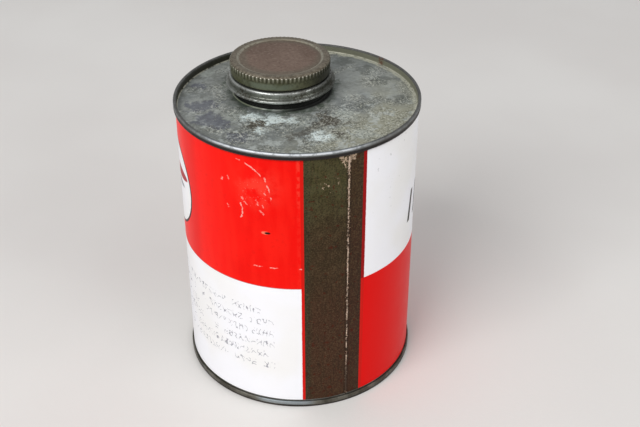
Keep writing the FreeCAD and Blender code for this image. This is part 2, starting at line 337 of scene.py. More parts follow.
class Value:
    """A node's output, with arithmetic that adds Math nodes."""

    def __init__(self, graph, socket):
        self.graph, self.socket = graph, socket

    def __add__(self, other):
        return self.graph.math("ADD", self, other)

    def __sub__(self, other):
        return self.graph.math("SUBTRACT", self, other)

    def __rsub__(self, other):
        return self.graph.math("SUBTRACT", other, self)

    def __mul__(self, other):
        return self.graph.math("MULTIPLY", self, other)

    def __truediv__(self, other):
        return self.graph.math("DIVIDE", self, other)

    def __abs__(self):
        return self.graph.math("ABSOLUTE", self)

    __radd__ = __add__


class Graph:
    """A material's node tree. Coordinates are the piece's own, in millimetres."""

    def __init__(self, name):
        self.material = bpy.data.materials.new(name)
        self.material.use_nodes = True
        self.tree = self.material.node_tree
        self.shader = self.tree.nodes["Principled BSDF"]
        place = self.add("ShaderNodeTexCoord").outputs["Object"]
        scaled = self.add("ShaderNodeVectorMath", {0: Value(self, place), 3: 1 / MM},
                          operation="SCALE")
        self.point = Value(self, scaled.outputs[0])
        parts = self.add("ShaderNodeSeparateXYZ", {0: self.point}).outputs
        self.x, self.y, self.z = (Value(self, part) for part in parts)

    def add(self, kind, inputs=None, **settings):
        node = self.tree.nodes.new(kind)
        for key, value in settings.items():
            setattr(node, key, value)
        for key, value in (inputs or {}).items():
            self.put(node.inputs[key], value)
        return node

    def put(self, socket, value):
        if isinstance(value, Value):
            self.tree.links.new(value.socket, socket)
        else:
            socket.default_value = value

    def math(self, operation, *values):
        node = self.add("ShaderNodeMath", dict(enumerate(values)), operation=operation)
        return Value(self, node.outputs[0])

    def vector(self, x, y, z=0.0):
        return Value(self, self.add("ShaderNodeCombineXYZ", {0: x, 1: y, 2: z}).outputs[0])

    def noise(self, scale, detail=2.0, vector=None, rough=0.5, offset=0.0):
        """Noise of about 0.3 to 0.7, `scale` cells a millimetre. offset picks a pattern."""
        where = vector or self.point
        if offset:
            shift = self.add("ShaderNodeVectorMath", {0: where, 1: (offset, offset, offset)},
                             operation="ADD")
            where = Value(self, shift.outputs[0])
        node = self.add("ShaderNodeTexNoise",
                        {"Vector": where, "Scale": scale, "Detail": detail, "Roughness": rough})
        return Value(self, node.outputs[0])

    def cells(self, scale):
        """Distance to the nearest of scattered points, in cells."""
        node = self.add("ShaderNodeTexVoronoi", {"Vector": self.point, "Scale": scale})
        return Value(self, node.outputs["Distance"])

    def ramp(self, value, low, high):
        """0 below low, 1 above high, smooth in between; falls where high is the lower."""
        down = high < low
        node = self.add("ShaderNodeMapRange",
                        {"Value": value, "From Min": min(low, high), "From Max": max(low, high),
                         "To Min": float(down), "To Max": float(not down)},
                        interpolation_type="SMOOTHSTEP")
        return Value(self, node.outputs[0])

    def band(self, value, low, high, soft):
        """1 between low and high, with soft ends."""
        return self.ramp(value, low - soft, low + soft) * self.ramp(value, high + soft, high - soft)

    def mix(self, share, first, second):
        """first where share is 0, second where it is 1. A tuple is a displayed colour, 0 to 255."""
        node = self.add("ShaderNodeMix", data_type="RGBA")
        for number, value in ((0, share), (6, first), (7, second)):
            self.put(node.inputs[number], shade(*value) if isinstance(value, tuple) else value)
        return Value(self, node.outputs[2])

    def most(self, *values):
        """The largest of some values."""
        total = values[0]
        for value in values[1:]:
            total = self.math("MAXIMUM", total, value)
        return total

    def distance(self, u, v, spot):
        """Distance from (u, v) to a spot."""
        du, dv = u - spot[0], v - spot[1]
        return self.math("SQRT", du * du + dv * dv)

    def blob(self, u, v, spot, radius, soft):
        """1 in a round spot and 0 outside."""
        return self.ramp(self.distance(u, v, spot), radius + soft, radius - soft)

    def stroke(self, u, v, start, end, width):
        """1 on a straight stroke with soft edges, and 0 off it."""
        length = math.dist(start, end)
        along_u, along_v = (end[0] - start[0]) / length, (end[1] - start[1]) / length
        du, dv = u - start[0], v - start[1]
        along = du * along_u + dv * along_v
        across = abs(du * -along_v + dv * along_u)
        past = abs(along - length / 2) - length / 2
        reach = self.math("MAXIMUM", across, past)
        return self.ramp(reach, width * 0.75, width * 0.25)

    def arc(self, u, v, centre, radius, low, high, width):
        """1 on an arc that bulges to the right, between two angles in degrees above level."""
        du, dv = centre[0] - u, v - centre[1]
        across = abs(self.math("SQRT", du * du + dv * dv) - radius)
        turn = self.math("ARCTAN2", dv, du) * (180 / math.pi)
        return self.ramp(across, width * 0.75, width * 0.25) * self.band(turn, low, high, 2.0)

    def finish(self, colour, roughness, bump, metallic=0.0, specular=0.5):
        """Joins the colour, roughness and bump height in millimetres to the shader."""
        self.put(self.shader.inputs["Base Color"], colour)
        self.put(self.shader.inputs["Roughness"], roughness)
        node = self.add("ShaderNodeBump", {"Strength": 1.0, "Distance": MM, "Height": bump})
        self.tree.links.new(node.outputs[0], self.shader.inputs["Normal"])
        self.shader.inputs["Metallic"].default_value = metallic
        self.shader.inputs["Specular IOR Level"].default_value = specular
        return self.material


# Materials

def clockwise(g):
    """Angle clockwise from the side seam, -pi to pi."""
    return g.math("ARCTAN2", g.x * -1.0, g.y * -1.0)


def wall_place(g):
    """Distance round the wall from the side seam, 0 to the whole way round."""
    return g.math("FRACT", clockwise(g) / (2 * math.pi)) * ROUND_WALL


def from_axis(g):
    return g.math("SQRT", g.x * g.x + g.y * g.y)


def from_neck(g):
    return g.distance(g.x, g.y, (NECK_X, NECK_Y))


def across_neck(g):
    """Distance from the neck's axis towards the right of the front."""
    return (g.x - NECK_X) * TO_FRONT_RIGHT[0] + (g.y - NECK_Y) * TO_FRONT_RIGHT[1]


def towards(g, radius, full, none):
    """1 within `full` degrees of the front left, falling to 0 at `none` degrees. Where full is the
    larger of the two, it is 1 beyond full and 0 within none."""
    share = (g.x * TO_FRONT_LEFT[0] + g.y * TO_FRONT_LEFT[1]) / radius
    return g.ramp(share, math.cos(math.radians(none)), math.cos(math.radians(full)))


def flattened(g, s, z, spot, squeeze):
    """Distance from a spot of the wall, with lengths round the wall multiplied by squeeze."""
    return g.distance(s * squeeze, z, (spot[0] * squeeze, spot[1]))


def litho_print():
    g = Graph("litho_print")
    ragged = (g.noise(0.8, 3) - 0.5) * 0.3
    s, z = wall_place(g) + ragged, g.z + ragged * 0.6
    left = g.ramp(s, PANELS[1] + 0.1, PANELS[1] - 0.1)
    upper = g.ramp(z, SPLIT_Z - 0.1, SPLIT_Z + 0.1)
    inside = g.band(s, PANELS[0], PANELS[2], 0.12)
    white = (left + upper - left * upper * 2.0) * inside

    broad = g.noise(0.03, 2)
    brushed = g.noise(0.25, 4, vector=g.vector(s, z * 0.15, 7.0))
    red = g.mix(g.ramp(broad, 0.35, 0.65), (236, 12, 4), (246, 20, 10))
    red = g.mix(g.ramp(brushed, 0.42, 0.68) * 0.3, red, (250, 42, 26))
    red = g.mix(g.ramp(g.noise(0.5, 4), 0.55, 0.75) * 0.2, red, (206, 12, 8))
    # Painted shade: a darker vertical band on the red.
    red = g.mix(g.band(s, 74, 84, 3.0) * 0.5, red, (222, 14, 8))
    red = g.mix(g.ramp(s, 180, 200), red, (222, 10, 6))
    # Painted reflection: a paler patch on the red near the top, where the light's reflection falls.
    reflection_patch = g.blob(s, z, (39.0, 120.0), 8.0, 7.0) * g.ramp(g.noise(0.2, 4, offset=37), 0.35, 0.6)
    red = g.mix(reflection_patch * 0.4, red, (250, 84, 64))
    # Painted highlight: a paler vertical band on the red beside the strip, stronger towards the
    # top.
    highlight_band = g.band(s, 21.2, 22.6, 0.5) * g.ramp(g.noise(0.5, 4, offset=39), 0.42, 0.56)
    red = g.mix(highlight_band * (0.06 + g.ramp(z, 104, 120) * 0.12), red, (250, 110, 84))
    border = g.mix(g.ramp(s, 100, 300) * upper, (205, 22, 14), (150, 14, 14))
    red = g.mix(inside, border, red)
    paper = g.mix(g.ramp(broad, 0.4, 0.62), (243, 243, 247), (240, 239, 238))
    paper = g.mix(g.ramp(g.noise(0.25, 4, offset=31), 0.55, 0.8) * 0.06, paper, (220, 214, 204))
    colour = g.mix(white, red, paper)
    split = g.band(z, SPLIT_Z - 0.2, SPLIT_Z + 0.2, 0.15) * inside * (1.0 - g.ramp(s, 170, 180))
    colour = g.mix(split * 0.6, colour, (150, 20, 18))

    from_middle = g.distance(s, z, ROUNDEL)
    in_roundel = g.ramp(from_middle, ROUNDEL_R + 0.1, ROUNDEL_R - 0.1)
    colour = g.mix(in_roundel, colour, paper)
    oval = g.ramp(flattened(g, s, z, (ROUNDEL[0], RED_OVAL_Z), 0.17), 3.3, 3.0)
    colour = g.mix(oval * in_roundel, colour, (170, 30, 40))
    oval = g.ramp(flattened(g, s, z, (ROUNDEL[0], GREY_OVAL_Z), 0.13), 1.9, 1.5)
    colour = g.mix(oval * in_roundel * 0.8, colour, (96, 98, 106))
    outline = g.band(from_middle, ROUNDEL_R - 0.95, ROUNDEL_R + 0.15, 0.12)
    colour = g.mix(outline, colour, (34, 14, 16))

    colour = g.mix(small_print(g, s, z) * 0.85, colour, (134, 134, 144))
    colour = g.mix(headline(g, s, z), colour, (34, 24, 22))
    marks = g.ramp(g.noise(0.45, 2, offset=73), 0.70, 0.735)
    marks = marks * g.band(s, 306, 331, 3.0) * g.ramp(z, 92, 98)
    colour = g.mix(marks * 0.35, colour, (150, 150, 150))

    scratch = scratches(g, s, z)
    flecks = g.ramp(g.noise(1.5, 2, offset=67), 0.66, 0.70) * g.blob(s, z, (41.0, 116.5), 6.0, 4.5)
    bare = g.most(scratch, flecks * 0.6)
    colour = g.mix(bare * 0.8, colour, (238, 178, 166))
    jagged = s + (g.noise(1.2, 3, offset=61) - 0.5) * 1.6
    chip = g.ramp(flattened(g, jagged, z, CHIP, 0.42), 0.62, 0.45)
    chip_edge = g.ramp(flattened(g, jagged, z, (CHIP[0] + 0.95, CHIP[1]), 0.42), 0.85, 0.6)
    colour = g.mix(chip_edge * 0.6, colour, (244, 150, 116))
    colour = g.mix(chip, colour, (30, 20, 16))
    grime = g.ramp(g.noise(0.4, 4, offset=11) - (z - SEAM_H) * 0.3, 0.3, 0.5)
    colour = g.mix(grime * 0.5, colour, (90, 80, 72))
    # Painted shadow: a dark red band just under the top seam.
    seam_shadow = g.ramp(z + (ragged * 2.0), HEIGHT - SEAM_H - 1.3, HEIGHT - SEAM_H)
    colour = g.mix(seam_shadow * 0.55, colour, (70, 24, 20))
    roughness = 0.32 + bare * 0.25 + (g.noise(0.12, 3, offset=5) - 0.5) * 0.15 + grime * 0.3
    height = g.noise(0.1, 2, offset=9) * 0.03 - bare * 0.02 - chip * 0.03
    return g.finish(colour, roughness, height, specular=0.07)


def small_print(g, s, z):
    """Rows of meaningless curls, as grey as fine print."""
    row = (z - (LOWEST_ROW_Z - ROW_PITCH / 2)) / ROW_PITCH
    number = g.math("FLOOR", row)
    height = (row - number - 0.5) * ROW_PITCH
    column = g.math("FLOOR", (s - ROWS[0]) / CURL_PITCH)
    across = s - ROWS[0] - (column + 0.5) * CURL_PITCH
    pick = g.add("ShaderNodeTexWhiteNoise", {"Vector": g.vector(column, number)},
                 noise_dimensions="2D")
    chance = Value(g, pick.outputs[0])
    curls = g.noise(1.0, 0, vector=g.vector(across * 0.55, height * 0.42, chance * 97.0))
    strokes = g.ramp(abs(curls - 0.5), 0.055, 0.015) * g.ramp(chance, 0.15, 0.16)
    block = g.band(s, *ROWS, 0.3) * g.band(row, 0, ROW_COUNT, 0.01)
    box = g.band(height, -1.75, 1.75, 0.15) * g.band(across, -1.2, 1.2, 0.12)
    return strokes * block * box


def headline(g, s, z):
    """A row of slanted bars where a name would be."""
    along = (s + z * BAR_SLANT - BAR_SHIFT) / BAR_PITCH
    bars = g.ramp(abs(along - g.math("FLOOR", along) - 0.5), 0.17, 0.15)
    return bars * g.band(z, *BARS_Z, 0.15) * g.band(s, *BARS, 0.2)


def scratches(g, s, z):
    """Two curved scratches, a level one and small nicks, with ragged edges and gaps."""
    u = s + (g.noise(1.3, 4, rough=0.6, offset=41) - 0.5) * 1.3
    v = z + (g.noise(1.3, 4, rough=0.6, offset=43) - 0.5) * 1.3
    height, right, left = LEVEL_SCRATCH
    long = g.most(g.arc(u, v, *LONG_SCRATCH, SCRATCH_WIDTH),
                  g.stroke(u, v, (left, height), (right, height), SCRATCH_WIDTH))
    broken = g.ramp(g.noise(0.2, 2, offset=45), 0.46, 0.52)
    (middle_s, middle_z), reach, count = NICKS
    source = np.random.default_rng(17)
    nicks = []
    for _ in range(count):
        heading = source.uniform(0, 2 * math.pi)
        away = reach * source.uniform()
        slant = source.normal(1.1, 0.4)
        length, width = source.uniform(0.8, 3.2), source.uniform(0.35, 0.9)
        strength = source.uniform(0.4, 1.0)
        start = middle_s + away * math.cos(heading), middle_z + away * math.sin(heading)
        end = start[0] - length * math.cos(slant), start[1] - length * math.sin(slant)
        nicks.append(g.stroke(u, v, start, end, width) * strength)
    whole = g.most(long * broken * 0.9, g.arc(u, v, *HOOK_SCRATCH, SCRATCH_WIDTH), *nicks)
    return whole * g.ramp(g.noise(0.7, 3, offset=47), 0.34, 0.44)


def strip_tin():
    """Dark varnished tinplate of the unprinted strip, with rust and a splash of solder."""
    g = Graph("strip_tin")
    s, z = clockwise(g) * WALL_R, g.z
    streak = g.noise(0.9, 4, vector=g.vector(s, z * 0.12, 3.0))
    mottle, grain = g.noise(0.25, 5, offset=5), g.noise(1.5, 4, rough=0.65, offset=6)
    olive = g.mix(g.ramp(mottle, 0.35, 0.65), (61, 58, 32), (70, 67, 42))
    brown = g.mix(g.ramp(mottle, 0.35, 0.65), (54, 41, 24), (64, 48, 31))
    colour = g.mix(g.ramp(z + (mottle - 0.5) * 20, 122, 92), olive, brown)
    lower = g.mix(mottle, (60, 37, 23), (70, 46, 31))
    colour = g.mix(g.ramp(z, 84, 50), colour, lower)
    colour = g.mix(g.ramp(s, 1.0, -0.5) * 0.7, colour, (60, 35, 23))
    colour = g.mix(g.ramp(s, 15.5, 19.4) * 0.5, colour, (46, 52, 34))
    colour = g.mix(g.ramp(streak, 0.48, 0.62) * 0.35, colour, (44, 33, 20))
    colour = g.mix(g.ramp(grain, 0.52, 0.62) * 0.4, colour, (92, 78, 54))
    colour = g.mix(g.ramp(grain, 0.47, 0.38) * 0.6, colour, (30, 21, 12))
    rust = g.ramp(g.noise(0.45, 4, offset=13) + g.ramp(z, 80, 20) * 0.04, 0.65, 0.69)
    colour = g.mix(rust * 0.6, colour, (72, 24, 13))
    funnel = g.ramp(abs(s - 0.5) - g.ramp(z, 127, 134.5) * 3.6, 1.6, -0.4)
    splash = g.noise(1.0, 5, rough=0.65, offset=23) + funnel * 0.22 + g.ramp(z, 122, 134) * 0.08
    splash = g.ramp(splash, 0.74, 0.80) * g.ramp(z, 119, 126) * g.ramp(funnel, 0.05, 0.3)
    spots = g.ramp(g.noise(0.7, 2, offset=75), 0.60, 0.65) * g.blob(s, z, (8.5, 121.0), 4.0, 2.0)
    pale = g.most(splash, spots * g.ramp(g.noise(1.4, 3, offset=29), 0.35, 0.55))
    colour = g.mix(pale * 0.8, colour, (190, 166, 142))
    # Painted shade: dark lines either side of the solder bead.
    edge = g.ramp(abs(abs(s) - 0.8), 0.8, 0.2)
    colour = g.mix(edge * 0.4, colour, (30, 20, 13))
    smear = g.noise(1.2, 4, offset=71) + g.ramp(abs(s), 1.1, 0.2) * 0.16
    smear = g.ramp(smear + g.ramp(z, 60, 130) * 0.04, 0.7, 0.75) * g.ramp(abs(s), 1.4, 0.9)
    colour = g.mix(smear * 0.7, colour, (176, 148, 126))
    # Painted shadow: a dark band on the strip just under the top seam.
    seam_shadow = g.ramp(z, HEIGHT - SEAM_H - 1.0, HEIGHT - SEAM_H)
    colour = g.mix(seam_shadow * 0.6, colour, (30, 24, 18))
    roughness = 0.46 + rust * 0.3 + (grain - 0.5) * 0.4
    height = streak * 0.01 + rust * 0.02 + g.noise(0.12, 2) * 0.05 + pale * 0.03
    return g.finish(colour, roughness, height, specular=0.1)


def plain_tin(name):
    """Bright tinplate with a soft crystalline spangle, for the inside of the can."""
    g = Graph(name)
    spangle = g.ramp(g.cells(0.16), 0.2, 0.75)
    cloud = g.noise(0.08, 5)
    colour = g.mix(g.ramp(cloud, 0.35, 0.65), (150, 150, 146), (112, 110, 102))
    colour = g.mix(spangle * 0.25, colour, (112, 110, 102))
    roughness = 0.3 + (cloud - 0.5) * 0.3 + spangle * 0.06
    return g.finish(colour, roughness, g.noise(0.4, 3) * 0.01, metallic=0.9)


def end_tin():
    """Weathered tinplate of the top: mottled panel, dark seam wall, bright crest with a painted
    glint, and painted shade and shadow round the foot of the neck.
    """
    g = Graph("end_tin")
    neck_r = from_neck(g)
    radius = from_axis(g)
    cloud, grain = g.noise(0.06, 6, offset=6), g.noise(0.5, 6, rough=0.7)
    panel, stained = panel_colour(g, cloud, grain, radius, neck_r)
    on_seam = g.ramp(radius, CHUCK_R - 0.75, CHUCK_R - 0.45)
    colour = g.mix(on_seam, panel, seam_colour(g, radius))
    across = across_neck(g)
    # Painted highlight: a pale line on the boss's edge, on the left only, towards the lamp.
    boss_edge = g.band(neck_r, 22.05, 22.35, 0.15) * g.ramp(across, -4, -10)
    colour = g.mix(boss_edge * 0.55, colour, (128, 132, 100))
    # Painted shade: near black on the collar under the neck's lip, and a painted shadow on the
    # panel to the right of the neck.
    shadow = g.ramp(neck_r, 24.4, 23.0) * g.ramp(across, -4, 9)
    collar = g.most(g.ramp(neck_r, 22.1, 21.8), shadow)
    colour = g.mix(collar * 0.95, colour, (8, 9, 6))
    roughness = 0.46 + (grain - 0.5) * 0.35 + stained * 0.12 + collar * 0.3
    height = g.noise(0.12, 3) * 0.05 + grain * 0.02
    return g.finish(colour, roughness, height, metallic=0.35)


def panel_colour(g, cloud, grain, radius, neck_r):
    """Colour of the top panel, with painted shade round the neck, and how stained it is: oxide
    islands, pale patches, the brightest partly painted highlight, and specks.
    """
    ragged, other = (g.noise(0.24, 8, rough=0.7, offset=shift) - 0.5 for shift in (2, 8))
    x, y = g.x + ragged * 20, g.y + other * 20

    def patches(spots, soft):
        return g.most(*(g.blob(x, y, (u, v), size, soft) for u, v, size in spots))

    colour = g.mix(g.ramp(cloud, 0.38, 0.62), (124, 128, 126), (148, 151, 146))
    warm = g.ramp(g.y * -1.0 + g.x * 0.45 + (cloud - 0.5) * 60, 16, 50)
    colour = g.mix(warm * 0.8, colour, (160, 158, 136))
    tarnish = g.ramp(g.noise(0.10, 8, rough=0.68, offset=12), 0.50, 0.55)
    right = g.ramp(g.x - abs(g.y) * 0.25, -6, 14)
    colour = g.mix(tarnish * (1.0 - right * 0.6) * 0.4, colour, (104, 106, 98))
    front = g.ramp(g.y + g.x * 0.25, 4, -22)
    frost = g.ramp(g.noise(0.14, 8, rough=0.68, offset=16), 0.52, 0.58) * (0.3 + front * 0.7)
    colour = g.mix(frost * 0.6, colour, (194, 200, 196))
    masks = {}
    for kind, (soft, strength, tone, spots) in STAINS_AND_HIGHLIGHTS.items():
        masks[kind] = patches(spots, soft)
        colour = g.mix(masks[kind] * strength, colour, tone)
    edge = g.band(radius + ragged * 5, 52.2, 53.6, 0.6) * g.ramp(g.x, 4, 26)
    edge = g.most(edge, patches(RIM_STAINS, 0.8))
    colour = g.mix(edge * 0.75, colour, (204, 203, 184))

    fine = g.noise(1.1, 5, rough=0.7, offset=19)
    nearer = g.ramp(g.y - g.x * 0.3, 5, -38)
    speckled = g.ramp(g.noise(0.07, 3, offset=25) + nearer * 0.16, 0.50, 0.62)
    dark = g.ramp(grain, 0.52, 0.6) * (0.22 + speckled * 0.35) * (1.0 - right * 0.5)
    colour = g.mix(dark, colour, (80, 80, 72))
    light = g.ramp(grain, 0.46, 0.38) * (0.18 + speckled * 0.3) * (1.0 - right * 0.4)
    colour = g.mix(light, colour, (206, 208, 198))
    colour = g.mix(g.ramp(fine, 0.54, 0.6) * speckled * 0.6, colour, (62, 60, 50))
    colour = g.mix(g.ramp(fine, 0.45, 0.39) * speckled * 0.6, colour, (226, 226, 208))
    # Painted shade: a patchy dark green ring round the neck, where its shadow and reflection fall.
    neck_shade = 0.45 + g.ramp(g.noise(0.12, 4, offset=35), 0.46, 0.56) * 0.55
    neck_shade = g.ramp(neck_r + ragged * 22, 28.5, 24.0) * neck_shade
    colour = g.mix(neck_shade * 0.75, colour, (54, 68, 50))
    return colour, g.most(tarnish, masks["brown"], masks["dull"])


def seam_colour(g, radius):
    """Colour of the top double seam: outer wall, crown and chuck wall."""
    drop = HEIGHT - g.z
    worn = g.noise(0.35, 5, rough=0.6, offset=21)
    colour = g.mix(g.ramp(worn, 0.42, 0.62), (34, 27, 24), (54, 47, 43))
    colour = g.mix(g.ramp(drop, SEAM_H - 2.2, SEAM_H - 0.9) * 0.9, colour, (16, 9, 6))
    crest = g.mix(g.ramp(worn, 0.4, 0.6), (100, 104, 104), (132, 136, 136))
    # Painted shade: the crown darker away from the front left, where no light glints on it.
    crest = g.mix(towards(g, radius, 50, 25) * 0.7, crest, (70, 66, 60))
    colour = g.mix(g.ramp(drop + (worn - 0.5) * 1.2, 1.75, 0.9), colour, crest)
    outer = g.ramp(radius, SEAM_R - 0.5, SEAM_R - 0.25)
    glint = outer * g.band(drop, 0.1, 0.8, 0.25) * (0.5 + g.ramp(worn, 0.34, 0.46) * 0.5)
    colour = g.mix(glint * (0.12 + towards(g, radius, 18, 42) * 0.85), colour, (220, 224, 230))
    # Chuck wall: painted shade on the left, and painted light on the right, where it faces the
    # lamp.
    inner = g.ramp(radius, CHUCK_R + 0.2, CHUCK_R)
    wall = g.mix(g.ramp(g.x, 2, 26), (54, 54, 42), (132, 132, 114))
    colour = g.mix(g.ramp(drop, 0.4, 0.9) * inner * 0.85, colour, wall)
    # Painted highlight: a pale line along the fillet at the foot of the chuck wall.
    fillet = g.ramp(drop, 2.9, 3.3) * inner * g.ramp(worn, 0.38, 0.5)
    colour = g.mix(fillet * 0.8, colour, (186, 184, 166))
    nick = g.blob(g.x, g.y, (51.5, 18), 1.4, 1.0) * g.ramp(g.noise(1.0, 3, offset=33), 0.4, 0.55)
    return g.mix(nick * 0.8, colour, (104, 66, 44))


def foot_tin():
    """Tinplate of the foot, rusted towards its seam, whose wall is grey above and dark below."""
    g = Graph("foot_tin")
    radius = from_axis(g)
    cloud, grain = g.noise(0.06, 5, offset=51), g.noise(0.5, 5, rough=0.65, offset=53)
    colour = g.mix(g.ramp(cloud, 0.36, 0.64), (104, 106, 102), (144, 144, 138))
    rust = g.ramp(grain + g.ramp(radius, 48, 54) * 0.06, 0.58, 0.7)
    colour = g.mix(rust * 0.75, colour, (92, 54, 32))
    wall = g.ramp(radius, CHUCK_R - 0.2, CHUCK_R + 0.2)
    worn = g.noise(0.1, 4, rough=0.6, offset=57)
    seam = g.mix(g.ramp(worn, 0.4, 0.6), (66, 62, 52), (104, 101, 92))
    glare = towards(g, radius, 9, 16) * g.band(g.z, 1.5, 3.3, 0.3)
    seam = g.mix(glare * 0.8, seam, (150, 158, 162))
    seam = g.mix(g.ramp(g.z, 1.6, 0.7) * 0.9, seam, (26, 16, 12))
    colour = g.mix(wall, colour, seam)
    roughness = 0.45 + (grain - 0.5) * 0.3 + rust * 0.2
    return g.finish(colour, roughness, grain * 0.015 + rust * 0.02, metallic=0.5)


def neck_tin():
    """Silver-grey rolled tinplate with painted highlights on its rings, and painted shade where it
    meets the can, in the groove between its rings, under the cap and on its right side.
    """
    g = Graph("neck_tin")
    rise = g.z - HEIGHT
    cloud, grain = g.noise(0.12, 5, offset=4), g.noise(0.9, 5, rough=0.65)
    colour = g.mix(g.ramp(cloud, 0.35, 0.65), (112, 115, 106), (148, 151, 143))
    dirt = g.ramp(grain + (g.noise(0.1, 2, offset=44) - 0.5) * 0.4, 0.52, 0.60)
    colour = g.mix(dirt * 0.75, colour, (66, 60, 46))
    # Painted highlights: bright bands along the lip and the shoulder.
    worn = g.most(g.band(rise, 0.9, 1.9, 0.3), g.band(rise, 4.3, 5.4, 0.4))
    colour = g.mix(worn * (1.0 - dirt * 0.6) * 0.5, colour, (210, 212, 210))
    # Painted shade: darker where the neck meets the can, in the groove between its rings, under the
    # cap, and on the right, away from the lamp.
    away = g.ramp(across_neck(g) + grain * 4, 8, 22)
    dark = g.most(g.ramp(rise, 1.0, 0.8), g.band(rise, 2.2, 2.9, 0.4) * 0.5,
                  g.ramp(rise, 5.35, 5.6) * 0.6, away * 0.85)
    colour = g.mix(dark * 0.8, colour, (40, 40, 32))
    roughness = 0.34 + (grain - 0.5) * 0.4 + dirt * 0.2
    return g.finish(colour, roughness, grain * 0.02 + g.noise(0.2, 2) * 0.05, metallic=0.85)


def cap_lacquer():
    """Worn lacquer over tin: brown on the disc, olive on the skirt with painted shade on its right
    and hem, bare with painted highlights on the knurls' crests.
    """
    g = Graph("lacquered_cap")
    rise = g.z - HEIGHT
    radius = from_neck(g)
    cloud, grain = g.noise(0.07, 5, offset=14), g.noise(0.7, 5, rough=0.62)
    disc = g.mix(g.ramp(cloud, 0.36, 0.64), (108, 86, 72), (124, 102, 88))
    disc = g.mix(g.ramp(radius + (cloud - 0.5) * 8, 14.5, 17.5) * 0.6, disc, (100, 94, 78))
    disc = g.mix(g.ramp(grain, 0.52, 0.66) * 0.5, disc, (84, 68, 56))
    disc = g.mix(g.ramp(grain, 0.46, 0.36) * 0.4, disc, (142, 126, 110))
    skirt = g.mix(g.ramp(cloud, 0.4, 0.6), (72, 72, 46), (94, 95, 72))
    skirt = g.mix(g.ramp(grain, 0.5, 0.64) * 0.6, skirt, (48, 46, 30))
    across = across_neck(g)
    sheen = g.band(across, -14, 6, 5) * g.band(rise, 6.6, 9.2, 0.7) * g.ramp(cloud, 0.4, 0.55)
    skirt = g.mix(sheen * 0.6, skirt, (112, 122, 106))
    # Painted shade: the skirt darker on its right, away from the lamp.
    skirt = g.mix(g.ramp(across, 7, 19) * 0.8, skirt, (22, 21, 11))
    olive = g.ramp(across, -12, -20) * g.ramp(cloud, 0.6, 0.45)
    skirt = g.mix(olive * 0.5, skirt, (66, 70, 28))
    crown = g.mix(g.ramp(grain, 0.4, 0.6), (96, 87, 72), (124, 115, 100))
    colour = g.mix(g.ramp(rise, CAP_CREST_Z - 1.3, CAP_CREST_Z - 0.4), skirt, crown)
    colour = g.mix(g.ramp(radius, 18.9, 18.5), colour, disc)
    # A pale ring on the bead round the disc: bare tin, partly painted highlight, stronger at the
    # sides.
    worn = g.band(radius, 18.5, 19.6, 0.3) * g.ramp(rise, 11.2, 11.5) * g.ramp(grain, 0.64, 0.42)
    colour = g.mix(worn * (0.3 + g.ramp(abs(across), 4, 15) * 0.45), colour, (166, 162, 146))
    low_end, high_end = KNURL_Z
    high = g.ramp(rise, high_end - 0.9, high_end - 0.2)
    crest = g.ramp(radius, CAP_R + 0.22, CAP_R + 0.34) * g.ramp(rise, low_end + 0.4, low_end + 2.4)
    valley = g.band(radius, CAP_R, CAP_R + 0.22, 0.05) * g.band(rise, low_end + 0.5, high_end, 0.3)
    colour = g.mix(valley * 0.5, colour, (44, 42, 28))
    # Painted highlight on the knurls' crests: brightest near their tops and on the lamp's side,
    # over bare tin.
    lit = g.ramp(across, 24, 8) * 0.7 + 0.3
    colour = g.mix(crest * (0.2 + high * 0.8) * lit, colour, (238, 234, 218))
    # Painted shade: a dark band along the cap's hem, above the neck.
    foot = g.ramp(rise, 6.7, 6.1)
    colour = g.mix(foot * 0.6, colour, (40, 38, 28))
    roughness = 0.44 + (grain - 0.5) * 0.35 - crest * 0.1
    height = grain * 0.01 + g.noise(0.15, 3) * 0.04
    return g.finish(colour, roughness, height, metallic=0.45)


def solder():
    """Old solder: bare and pinkish where it stands proud, and browned over elsewhere."""
    g = Graph("solder")
    lumps = g.noise(0.8, 5, rough=0.65)
    gaps = (g.noise(0.3, 3, offset=65) - 0.5) * 0.6 + (g.noise(0.07, 3, offset=63) - 0.5) * 0.5
    bare = g.ramp(lumps + gaps + g.ramp(g.z, 100, 128) * 0.1, 0.44, 0.52) * g.ramp(g.z, 14, 30)
    bright = g.mix(g.ramp(g.noise(2.0, 3), 0.4, 0.6), (168, 142, 122), (218, 196, 176))
    colour = g.mix(bare, g.mix(lumps, (48, 36, 26), (82, 64, 48)), bright)
    return g.finish(colour, 0.5 + (lumps - 0.5) * 0.3, lumps * 0.05, metallic=0.5)


def compound():
    g = Graph("seam_compound")
    grain = g.noise(1.5, 4)
    colour = g.mix(g.ramp(grain, 0.4, 0.62), (36, 34, 32), (66, 60, 54))
    return g.finish(colour, 0.72 + (grain - 0.5) * 0.2, grain * 0.02)


def pulpboard():
    g = Graph("pulpboard")
    fibre = g.noise(1.4, 6, rough=0.7)
    flecks = g.ramp(g.cells(0.9), 0.18, 0.08)
    colour = g.mix(g.ramp(fibre, 0.38, 0.62), (150, 128, 98), (186, 166, 134))
    colour = g.mix(flecks * 0.5, colour, (104, 84, 60))
    return g.finish(colour, 0.9 + (fibre - 0.5) * 0.1, fibre * 0.06)


def foil():
    """Crinkled foil, with a ring pressed in where it meets the mouth."""
    g = Graph("tin_foil")
    radius = from_neck(g)
    creases = abs(g.noise(0.5, 4) - 0.5)
    ring = g.band(radius, 18.7, 19.9, 0.15)
    colour = g.mix(g.ramp(creases, 0.02, 0.1), (150, 150, 150), (204, 205, 207))
    colour = g.mix(ring * 0.4, colour, (110, 100, 88))
    return g.finish(colour, 0.28 + creases * 0.8, creases * 0.12 - ring * 0.05, metallic=1.0)


